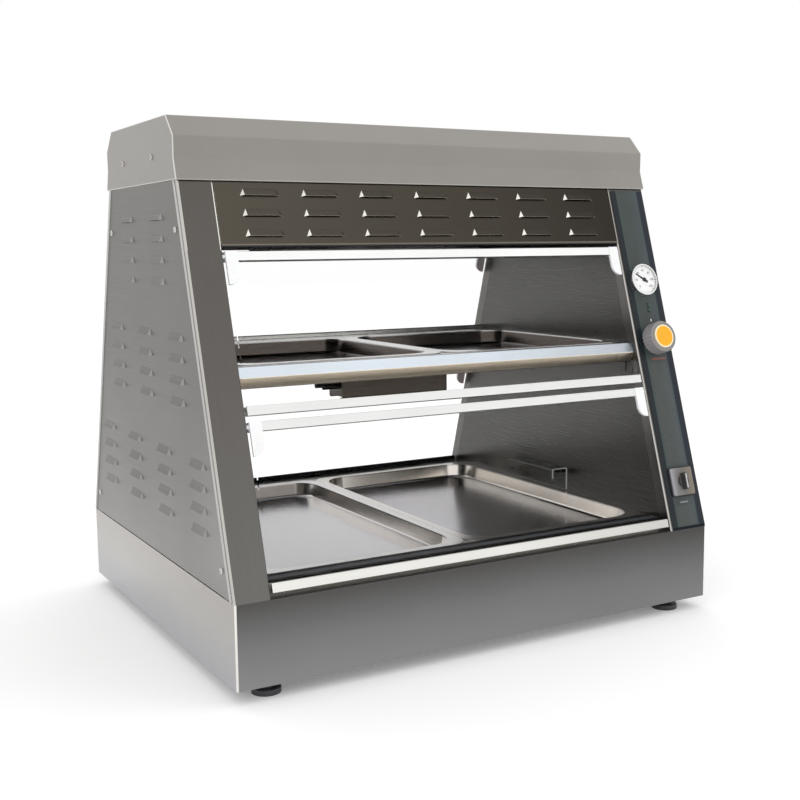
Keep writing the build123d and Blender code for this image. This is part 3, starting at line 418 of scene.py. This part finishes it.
def sprayed(name, tone, roughness=0.36):
    """Satin paint on sheet, with faint orange peel and a little dust."""
    made, tree, shader = finish(name, Coat_Weight=0.12, Coat_Roughness=0.25)
    at = place(tree)
    peel = add(tree, "TexNoise", Vector=at["here"], Scale=420.0, Detail=2.0).outputs["Fac"]
    cloud = add(tree, "TexNoise", Vector=at["here"], Scale=6.0, Detail=4.0,
                Roughness=0.6).outputs["Fac"]
    tree.links.new(shaded(tree, tone(tree, at), spread(tree, cloud, 0.95, 1.05)),
                   shader.inputs["Base Color"])
    tree.links.new(spread(tree, cloud, roughness - 0.05, roughness + 0.07),
                   shader.inputs["Roughness"])
    skin = add(tree, "Bump", Strength=0.25, Distance=0.00004, Height=peel)
    tree.links.new(skin.outputs["Normal"], shader.inputs["Normal"])
    return made


hood_edge = 0.6472


def hood_painted_light(tree, at):
    """The paint, with painted highlights round the rounded ends and along the lower edge."""
    bend_highlight = between(tree, calc(tree, "ABSOLUTE", at["nx"]), 0.12, 0.9, 0.07)
    edge_highlight = calc(tree, "LESS_THAN", at["z"], hood_edge)
    bent = mixed(tree, calc(tree, "MULTIPLY", bend_highlight, 0.8), screen(140, 136, 130),
                 screen(232, 229, 224))
    return mixed(tree, calc(tree, "MULTIPLY", edge_highlight, 0.4), bent, screen(200, 197, 191))


dress(sprayed("hood_paint", hood_painted_light), "hood_shell")


# Screws. Bright zinc pan heads hold the side panels; those of the hood ends are painted over.

def polished(name, tone, roughness=0.2, **surface):
    """Plain bright metal with faint variation in its gloss."""
    made, tree, shader = finish(name, Metallic=1.0, **surface)
    at = place(tree)
    colour = tone(tree, at) if callable(tone) else tone
    wear = add(tree, "TexNoise", Vector=at["here"], Scale=120.0, Detail=4.0).outputs["Fac"]
    tree.links.new(spread(tree, wear, roughness - 0.05, roughness + 0.08),
                   shader.inputs["Roughness"])
    tree.links.new(shaded(tree, colour, spread(tree, wear, 0.93, 1.04)),
                   shader.inputs["Base Color"])
    return made


side_screws_below = 0.65


def screw_tone(tree, at):
    painted = calc(tree, "GREATER_THAN", at["z"], side_screws_below)
    return mixed(tree, painted, screen(206, 205, 202), screen(188, 184, 178))


dress(polished("screw_zinc", screw_tone), "panel_screws")


# Flaps. Toughened panes in aluminium channels, hung on white plastic lugs. The lower channel is
# the handle. The index of the panes is low, so that they mirror little of the white surroundings.

pane_index = 1.08
lower_rail_top = 0.2


def clear_glass(name, index):
    """Clear glass with faint smears that lets the lamps' light through, and whose upright side
    edges don't show."""
    made, tree, shader = finish(name, Roughness=0.0, IOR=index, Transmission_Weight=1.0)
    at = place(tree)
    smear = add(tree, "TexNoise", Vector=at["here"], Scale=9.0, Detail=4.0)
    clean = (1.0, 1.0, 1.0, 1.0)
    tree.links.new(shaded(tree, clean, spread(tree, smear.outputs["Fac"], 0.996, 1.0)),
                   shader.inputs["Base Color"])
    rays = add(tree, "LightPath")
    through = add(tree, "BsdfTransparent", Color=(0.985, 0.99, 0.99, 1))
    lit = calc(tree, "MAXIMUM", rays.outputs["Is Shadow Ray"], rays.outputs["Is Diffuse Ray"])
    side_edge = calc(tree, "GREATER_THAN", calc(tree, "ABSOLUTE", at["nx"]), 0.9)
    pick = add(tree, "MixShader", Fac=calc(tree, "MAXIMUM", lit, side_edge))
    tree.links.new(shader.outputs["BSDF"], pick.inputs[1])
    tree.links.new(through.outputs["BSDF"], pick.inputs[2])
    tree.links.new(pick.outputs["Shader"], tree.nodes["Material Output"].inputs["Surface"])
    return made


def rail_tone_and_shade(tree, at):
    """Bright aluminium, brightest on the upper rails; painted shade makes the rails down at the deck
    dimmer to the right.
    """
    bright = tones(tree, at["z"], [(0.15, screen(236, 235, 230)), (0.2, screen(238, 238, 235)),
                                   (0.45, screen(238, 239, 237)), (0.5, screen(252, 252, 251))])
    low = calc(tree, "LESS_THAN", at["z"], lower_rail_top)
    painted_dim_right = shaded(tree, bright, spread(tree, at["x"], 1.0, 0.76, 0.0, 0.3))
    return mixed(tree, low, bright, painted_dim_right)


pane_glass = clear_glass("pane_glass", pane_index)
rail_metal = brushed("rail_metal", rail_tone_and_shade, grain=(14.0, 1500.0, 1500.0),
                     roughness=0.34, streak=0.03, cloud=0.04)
lug_plastic = moulded("lug_plastic", screen(251, 251, 251), roughness=0.3,
                      Subsurface_Weight=0.15, Subsurface_Scale=0.004)
for flap in ("front_upper", "front_lower", "rear_upper", "rear_lower"):
    dress(pane_glass, flap + "_glass")
    dress(rail_metal, flap + "_rails")
    dress(lug_plastic, flap + "_lugs")


# Shelf. A folded tray whose front face is bent in two, on four angle brackets, with the housing
# of its own heater slung underneath.

dam_foot = shelf_rim + 0.004


def shelf_painted_light(tree, at):
    """Painted reflections: the upper half of the front bluish white and dimmer to the right, its
    lower half tan, and greyer where it faces up; the dam is grey.
    """
    facing = tones(tree, at["nz"], [(-0.6, screen(234, 221, 202)), (-0.08, screen(234, 221, 202)),
                                    (0.08, screen(226, 235, 242)), (0.75, screen(224, 232, 240)),
                                    (1.0, screen(176, 175, 172))])
    painted_dim_right = shaded(tree, facing, spread(tree, at["x"], 1.0, 0.72, 0.05, 0.3))
    front_face = mixed(tree, between(tree, at["nz"], -0.02, 0.9, 0.05), facing, painted_dim_right)
    dam = calc(tree, "GREATER_THAN", at["z"], dam_foot)
    return mixed(tree, dam, front_face, screen(150, 148, 146))


dress(brushed("shelf_steel", shelf_painted_light, grain=(14.0, 1500.0, 1500.0), roughness=0.24,
              streak=0.03), "shelf_frame")
dress(wall_steel, "shelf_brackets")
dress(brushed("housing_steel", screen(70, 64, 58), grain=(14.0, 1500.0, 1500.0)),
      "shelf_heater_housing")
sheath = brushed("heater_sheath", screen(44, 40, 38), grain=(60.0, 60.0, 60.0), roughness=0.5,
                 streak=0.15)
dress(sheath, "shelf_heater_element", "base_heater_element")
dress(floor_steel, "heater_clips")


# Sensor guard. A folded strip on the right wall over the two bulbs of the controls; its cut
# ends carry a painted highlight and its roof painted shade.

guard_end = -0.0582


# Painted light: a white painted highlight on the cut ends, and painted shade on the roof.
def guard_painted_light(tree, at):
    cut_highlight = calc(tree, "LESS_THAN", at["y"], guard_end)
    roof_shade = spread(tree, at["nz"], 0.0, 1.0, 0.3, 0.8)
    sheet = mixed(tree, roof_shade, screen(84, 84, 80), screen(46, 44, 40))
    return mixed(tree, cut_highlight, sheet, screen(255, 255, 255))


def guard_metal(tree, at):
    """0 on the cut ends, so that their painted highlight shows as plain pale colour, and 1
    elsewhere.
    """
    return calc(tree, "GREATER_THAN", at["y"], guard_end)


dress(brushed("guard_steel", guard_painted_light, grain=(1500.0, 14.0, 1500.0), roughness=0.24,
              streak=0.03, metal=guard_metal), "sensor_guard")
dress(polished("bulb_steel", screen(84, 80, 74), roughness=0.3), "sensor_bulbs")


# Lamp. A frosted tube between two black holders under the ceiling.

lamp_frost = moulded("lamp_frost", screen(240, 238, 230), roughness=0.4, texture=300.0,
                     Transmission_Weight=0.2)
dress(lamp_frost, "lamp_tube")
dress(gland_nylon, "lamp_holders")


# Control panel. A dark printed film on the right post, with a lighter band down its middle
# between thin lines, a hatch of fine slanted lines in the band, and two pilot lamps.

film = 0.0008
band_left = 0.3295
band_right = 0.3705
hatch_pitch = 0.0038
hatch_slant = 0.55
upper_hatch = (0.225, 0.375)
lower_hatch = (0.136, 0.163)


def film_tone(tree, at):
    """The film's colours from left to right, and the hatch in its two fields."""
    across = tones(tree, at["x"], [(0.318, screen(28, 36, 38)),
                                   (band_left - 0.0010, screen(24, 31, 37)),
                                   (band_left + 0.0001, screen(64, 82, 82)),
                                   (band_left + 0.0017, screen(64, 72, 70)),
                                   (0.3500, screen(66, 73, 71)),
                                   (band_right - 0.0015, screen(71, 79, 82)),
                                   (band_right - 0.0001, screen(58, 74, 74)),
                                   (band_right + 0.0011, screen(32, 38, 48)),
                                   (post_outer, screen(32, 36, 44))])
    slant = calc(tree, "MULTIPLY_ADD", at["z"], hatch_slant, at["x"])
    wave = calc(tree, "SINE", calc(tree, "MULTIPLY", slant, 2 * math.pi / hatch_pitch))
    line = spread(tree, wave, 0.0, 0.45, 0.55, 0.95)
    inside = between(tree, at["x"], band_left + 0.003, band_right - 0.004, 0.0002)
    for low, high in (upper_hatch, lower_hatch):
        hatched = calc(tree, "MULTIPLY", between(tree, at["z"], low, high, 0.001), inside)
        share = calc(tree, "MULTIPLY", hatched, line)
        across = mixed(tree, share, across, screen(122, 118, 118))
    return across


dress(moulded("panel_film", film_tone, roughness=0.3, texture=1400.0, depth=0.00002,
              Specular_IOR_Level=0.25), "control_overlay")


def on_slope(x, level, outward):
    """The frame of a spot on the front slope: across, up the slope, and square out of it."""
    up = Vector((0, math.sin(front_lean), math.cos(front_lean)))
    out = Vector((0, -math.cos(front_lean), math.sin(front_lean)))
    foot = Vector((x, -slope_foot, slope_foot_level))
    spot = foot + up * ((level - slope_foot_level) / math.cos(front_lean)) + out * outward
    return Matrix.Translation(spot) @ Matrix((Vector((1, 0, 0)), up, out)).transposed().to_4x4()


def detail(name, mesh, material, body):
    """A piece made here, with its material, riding on a body of the model."""
    mesh.materials.append(material)
    piece = bpy.data.objects.new(name, mesh)
    bpy.context.scene.collection.objects.link(piece)
    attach(piece, body)
    return piece


def rounded_outline(width, height, corner, steps=5):
    """Points round a rectangle with round corners, about the origin."""
    points = []
    for quarter, (sx, sy) in enumerate(((1, 1), (-1, 1), (-1, -1), (1, -1))):
        for step in range(steps + 1):
            angle = math.pi / 2 * (quarter + step / steps)
            points.append((sx * (width / 2 - corner) + corner * math.cos(angle),
                           sy * (height / 2 - corner) + corner * math.sin(angle)))
    return points


def raised(outlines, height, where, inner=None):
    """One mesh of flat raised shapes on a frame each; an inner outline leaves a hole."""
    shape = bmesh.new()
    for outline, spot in zip(outlines, where):
        rings = [(outline, 0.0), (outline, height)]
        if inner:
            rings += [(inner, height), (inner, 0.0)]
        loops = [[shape.verts.new(spot @ Vector((x, y, z))) for x, y in points]
                 for points, z in rings]
        for low, high in zip(loops, loops[1:]):
            for index in range(len(low)):
                after = (index + 1) % len(low)
                shape.faces.new((low[index], low[after], high[after], high[index]))
        if not inner:
            shape.faces.new(loops[-1])
            shape.faces.new(reversed(loops[0]))
        else:
            for index in range(len(loops[0])):
                after = (index + 1) % len(loops[0])
                shape.faces.new((loops[-1][index], loops[-1][after],
                                 loops[0][after], loops[0][index]))
    bmesh.ops.recalc_face_normals(shape, faces=shape.faces)
    mesh = bpy.data.meshes.new("raised")
    shape.to_mesh(mesh)
    shape.free()
    return mesh


def turned(profile, spots, segments=40):
    """One mesh of shapes turned about their own axis; profile is (radius, height) steps, from the
    rim in."""
    shape = bmesh.new()
    for spot in spots:
        loops = []
        for radius, height in profile:
            if radius == 0:
                loops.append([shape.verts.new(spot @ Vector((0, 0, height)))])
                continue
            loops.append([shape.verts.new(spot @ Vector((radius * math.cos(angle),
                                                         radius * math.sin(angle), height)))
                          for angle in (2 * math.pi * step / segments for step in range(segments))])
        for low, high in zip(loops, loops[1:]):
            for index in range(segments):
                after = (index + 1) % segments
                corners = [low[index], low[after]]
                corners += [high[0]] if len(high) == 1 else [high[after], high[index]]
                shape.faces.new(corners)
    bmesh.ops.recalc_face_normals(shape, faces=shape.faces)
    mesh = bpy.data.meshes.new("turned")
    shape.to_mesh(mesh)
    shape.free()
    mesh.shade_smooth()
    return mesh


pilot_x = 0.3521
pilot_levels = (0.4643, 0.4566)
ink = 0.00012
pilot_profile = [(0.0036, 0.0), (0.0036, 0.0005), (0.0031, 0.0007), (0.0029, 0.0014),
                 (0.0021, 0.0021), (0.0011, 0.0025), (0.0, 0.0026)]
pilot_green = moulded("pilot_green", screen(14, 62, 46), roughness=0.18, texture=200.0,
                      Coat_Weight=0.4, Transmission_Weight=0.2)
pilots = turned(pilot_profile, [on_slope(pilot_x, level, film) for level in pilot_levels])
detail("pilot_lamps", pilots, pilot_green, "cabinet")
detail("knob_tick", raised([rounded_outline(0.0022, 0.0042, 0.0008)], ink,
                           [on_slope(0.3524, 0.441, film)]),
       moulded("print_white", screen(214, 216, 214)), "cabinet")
detail("knob_scale_bar", raised([rounded_outline(0.028, 0.0030, 0.0012)], ink,
                                [on_slope(0.3530, 0.3822, film)]),
       moulded("print_red", screen(122, 72, 58)), "cabinet")
detail("switch_mark", raised([rounded_outline(0.016, 0.0022, 0.0010)], ink,
                             [on_slope(0.3500, 0.1681, film)]),
       moulded("print_grey", screen(132, 134, 136)), "cabinet")


# Thermometer. A bright case and bezel, a white printed dial with a scale to 120 degrees, a black
# pointer and a clear lens.

dial_x = 0.3485
dial_level = 0.502
dial_face = film + 0.0058
lens_index = 1.12
scale_start = math.radians(225)
scale_sweep = math.radians(270)
scale_steps = 24
steps_per_number = 4
number_ring = 0.0150


# Painted light: lightest where the bezel faces the front, in painted shade where it faces right.
def bezel_painted_shade(tree, at):
    return tones(tree, at["nx"], [(-1.0, screen(226, 226, 224)), (-0.2, screen(244, 244, 242)),
                                  (0.3, screen(240, 240, 238)), (1.0, screen(120, 118, 116))])


dress(polished("bezel_metal", bezel_painted_shade, roughness=0.22), "thermometer_case")
dress(moulded("dial_white", screen(252, 252, 251), roughness=0.5), "thermometer_dial")
dress(moulded("pointer_black", screen(12, 12, 12), roughness=0.4), "thermometer_pointer")
dress(clear_glass("lens_glass", lens_index), "thermometer_lens")

print_black = moulded("print_black", screen(40, 42, 46), roughness=0.5)
long_tick = (0.0206, rounded_outline(0.0006, 0.0026, 0.0001, 1))
short_tick = (0.0210, rounded_outline(0.0003, 0.0016, 0.0001, 1))
tick_outlines = []
tick_spots = []
for step in range(scale_steps + 1):
    angle = scale_start - scale_sweep * step / scale_steps
    middle, outline = long_tick if step % steps_per_number == 0 else short_tick
    tick_outlines.append(outline)
    tick_spots.append(on_slope(dial_x, dial_level, dial_face)
                      @ Matrix.Rotation(angle - math.pi / 2, 4, "Z")
                      @ Matrix.Translation((0, middle, 0)))
detail("dial_ticks", raised(tick_outlines, 0.00008, tick_spots), print_black, "cabinet")

last_number = scale_steps // steps_per_number
numbers = bmesh.new()
for index in range(last_number + 1):
    angle = scale_start - scale_sweep * index / last_number
    text = bpy.data.curves.new("dial_number", "FONT")
    text.body = str(20 * index)
    text.size = 0.0052
    text.align_x = "CENTER"
    text.align_y = "CENTER"
    text.extrude = 0.00004
    holder = bpy.data.objects.new("dial_number", text)
    flat = bpy.data.meshes.new_from_object(holder)
    spot = on_slope(dial_x + number_ring * math.cos(angle), dial_level, dial_face + text.extrude)
    flat.transform(spot @ Matrix.Translation((0, number_ring * math.sin(angle), 0)))
    numbers.from_mesh(flat)
    bpy.data.meshes.remove(flat)
    bpy.data.objects.remove(holder)
    bpy.data.curves.remove(text)
number_mesh = bpy.data.meshes.new("dial_numbers")
numbers.to_mesh(number_mesh)
numbers.free()
detail("dial_numbers", number_mesh, print_black, "cabinet")


# Knob. A ribbed grey knob with an orange cap set in it, ringed by a pale band.

knob_x = 0.352
knob_level = 0.4115
knob_gap = 0.001
knob_height = 0.021
knob_spot = on_slope(knob_x, knob_level, film + knob_gap + knob_height)


# Painted light: lighter where the knob faces left, in painted shade where it faces right.
def knob_painted_shade(tree, at):
    return tones(tree, at["nx"], [(-1.0, screen(172, 169, 172)), (-0.6, screen(150, 147, 147)),
                                  (0.2, screen(132, 128, 123)), (1.0, screen(76, 72, 68))])


dress(moulded("knob_plastic", knob_painted_shade, roughness=0.36), "thermostat_knob")
dress(moulded("cap_orange", screen(255, 178, 0), roughness=0.35), "knob_cap")
ring_profile = [(0.0180, 0.0), (0.0180, 0.0012), (0.0175, 0.0018), (0.0162, 0.0018),
                (0.0158, 0.0016), (0.0158, 0.0)]
detail("cap_ring", turned(ring_profile, [knob_spot], 64),
       moulded("ring_cream", screen(255, 242, 206), roughness=0.3), "knob")


# Switch. A square grey-brown plate in a dark frame, and a lever with a pale stripe on its grip.

switch_x = 0.3515
switch_level = 0.198
plate_thickness = 0.004
lever_gap = 0.0003
lever_height = 0.009
switch_spot = on_slope(switch_x, switch_level, film)
grip_top = on_slope(switch_x, switch_level, film + plate_thickness + lever_gap + lever_height)


def plate_tone(tree, at):
    return tones(tree, at["x"], [(0.331, screen(156, 156, 162)), (0.339, screen(126, 124, 124)),
                                 (0.355, screen(108, 104, 98)), (0.372, screen(130, 120, 106))])


dress(moulded("switch_plastic", plate_tone, roughness=0.3), "switch_plate")
dress(moulded("lever_plastic", screen(64, 62, 62), roughness=0.28), "switch_lever")
dress(gland_nylon, "switch_body", "thermostat_body")
detail("switch_frame", raised([rounded_outline(0.0462, 0.0462, 0.0045)], 0.0016, [switch_spot],
                              rounded_outline(0.0422, 0.0422, 0.0031)),
       gland_nylon, "cabinet")
detail("grip_stripe", raised([rounded_outline(0.0020, 0.0220, 0.0008)], 0.00015, [grip_top]),
       moulded("stripe_pale", screen(206, 206, 210), roughness=0.35), "lever")


# Studio. A white floor, soft lamps from above and from both sides, and the camera where the
# photograph was taken from.

def seen_by_rays(tree):
    """1 for a ray straight from the camera or by way of metal or glass, else 0."""
    rays = add(tree, "LightPath")
    seen = calc(tree, "MAXIMUM", rays.outputs["Is Camera Ray"], rays.outputs["Is Glossy Ray"])
    return calc(tree, "MAXIMUM", seen, rays.outputs["Is Transmission Ray"])


floor_lift = 0.165
floor_half = 15.0
floor_white, tree, shader = finish("studio_white", Base_Color=(0.93, 0.93, 0.93, 1),
                                   Roughness=0.9, Specular_IOR_Level=0.0,
                                   Emission_Color=(1, 1, 1, 1))
tree.links.new(calc(tree, "MULTIPLY", seen_by_rays(tree), floor_lift),
               shader.inputs["Emission Strength"])
floor_mesh = bpy.data.meshes.new("studio_floor")
corners = [(x * floor_half, y * floor_half, 0.0) for x, y in ((-1, -1), (1, -1), (1, 1), (-1, 1))]
floor_mesh.from_pydata(corners, [], [(0, 1, 2, 3)])
floor_mesh.materials.append(floor_white)
floor_piece = bpy.data.objects.new("studio_floor", floor_mesh)
bpy.context.scene.collection.objects.link(floor_piece)

world = bpy.data.worlds.new("studio_world")
bpy.context.scene.world = world
world.use_nodes = True
tree = world.node_tree
tree.nodes.clear()
lighting = add(tree, "Background", Color=(1, 1, 1, 1), Strength=0.95)
backdrop = add(tree, "Background", Color=(1, 1, 1, 1), Strength=1.0)
pick = add(tree, "MixShader", Fac=seen_by_rays(tree))
tree.links.new(lighting.outputs["Background"], pick.inputs[1])
tree.links.new(backdrop.outputs["Background"], pick.inputs[2])
output = tree.nodes.new("ShaderNodeOutputWorld")
tree.links.new(pick.outputs["Shader"], output.inputs["Surface"])


def softbox(name, where, aim, size, watts):
    """A square area lamp aimed at a point; it isn't mirrored in the metal or the glass."""
    lamp = bpy.data.lights.new(name, "AREA")
    lamp.shape = "SQUARE"
    lamp.size = size
    lamp.energy = watts
    fixture = bpy.data.objects.new(name, lamp)
    fixture.location = where
    fixture.rotation_euler = (Vector(aim) - Vector(where)).to_track_quat("-Z", "Y").to_euler()
    fixture.visible_glossy = False
    fixture.visible_transmission = False
    bpy.context.scene.collection.objects.link(fixture)


softbox("overhead_softbox", (0.2, 0.4, 2.9), (0.0, 0.0, 0.3), 2.4, 8)
softbox("left_softbox", (-2.2, -2.0, 1.8), (0.0, 0.0, 0.35), 1.6, 4)
softbox("right_softbox", (2.3, -2.2, 1.9), (0.0, 0.0, 0.2), 1.6, 9)

camera = bpy.data.cameras.new("studio_camera")
camera.sensor_width = 36.0
camera.lens = 52.24
camera.shift_x = -0.0112
camera.shift_y = -0.0013
viewpoint = bpy.data.objects.new("studio_camera", camera)
stand = (-0.8751, -1.6050, 0.5573)
yaw = math.radians(29.761)
pitch = math.radians(7.434)
roll = math.radians(-0.567)
forward = Vector((math.sin(yaw) * math.cos(pitch), math.cos(yaw) * math.cos(pitch),
                  -math.sin(pitch)))
level_right = forward.cross(Vector((0, 0, 1))).normalized()
level_up = level_right.cross(forward)
right = level_right * math.cos(roll) + level_up * math.sin(roll)
up = right.cross(forward)
looking = Matrix((right, up, -forward)).transposed()
viewpoint.matrix_world = Matrix.Translation(stand) @ looking.to_4x4()
bpy.context.scene.collection.objects.link(viewpoint)
bpy.context.scene.camera = viewpoint
bpy.context.scene.view_settings.view_transform = "Standard"
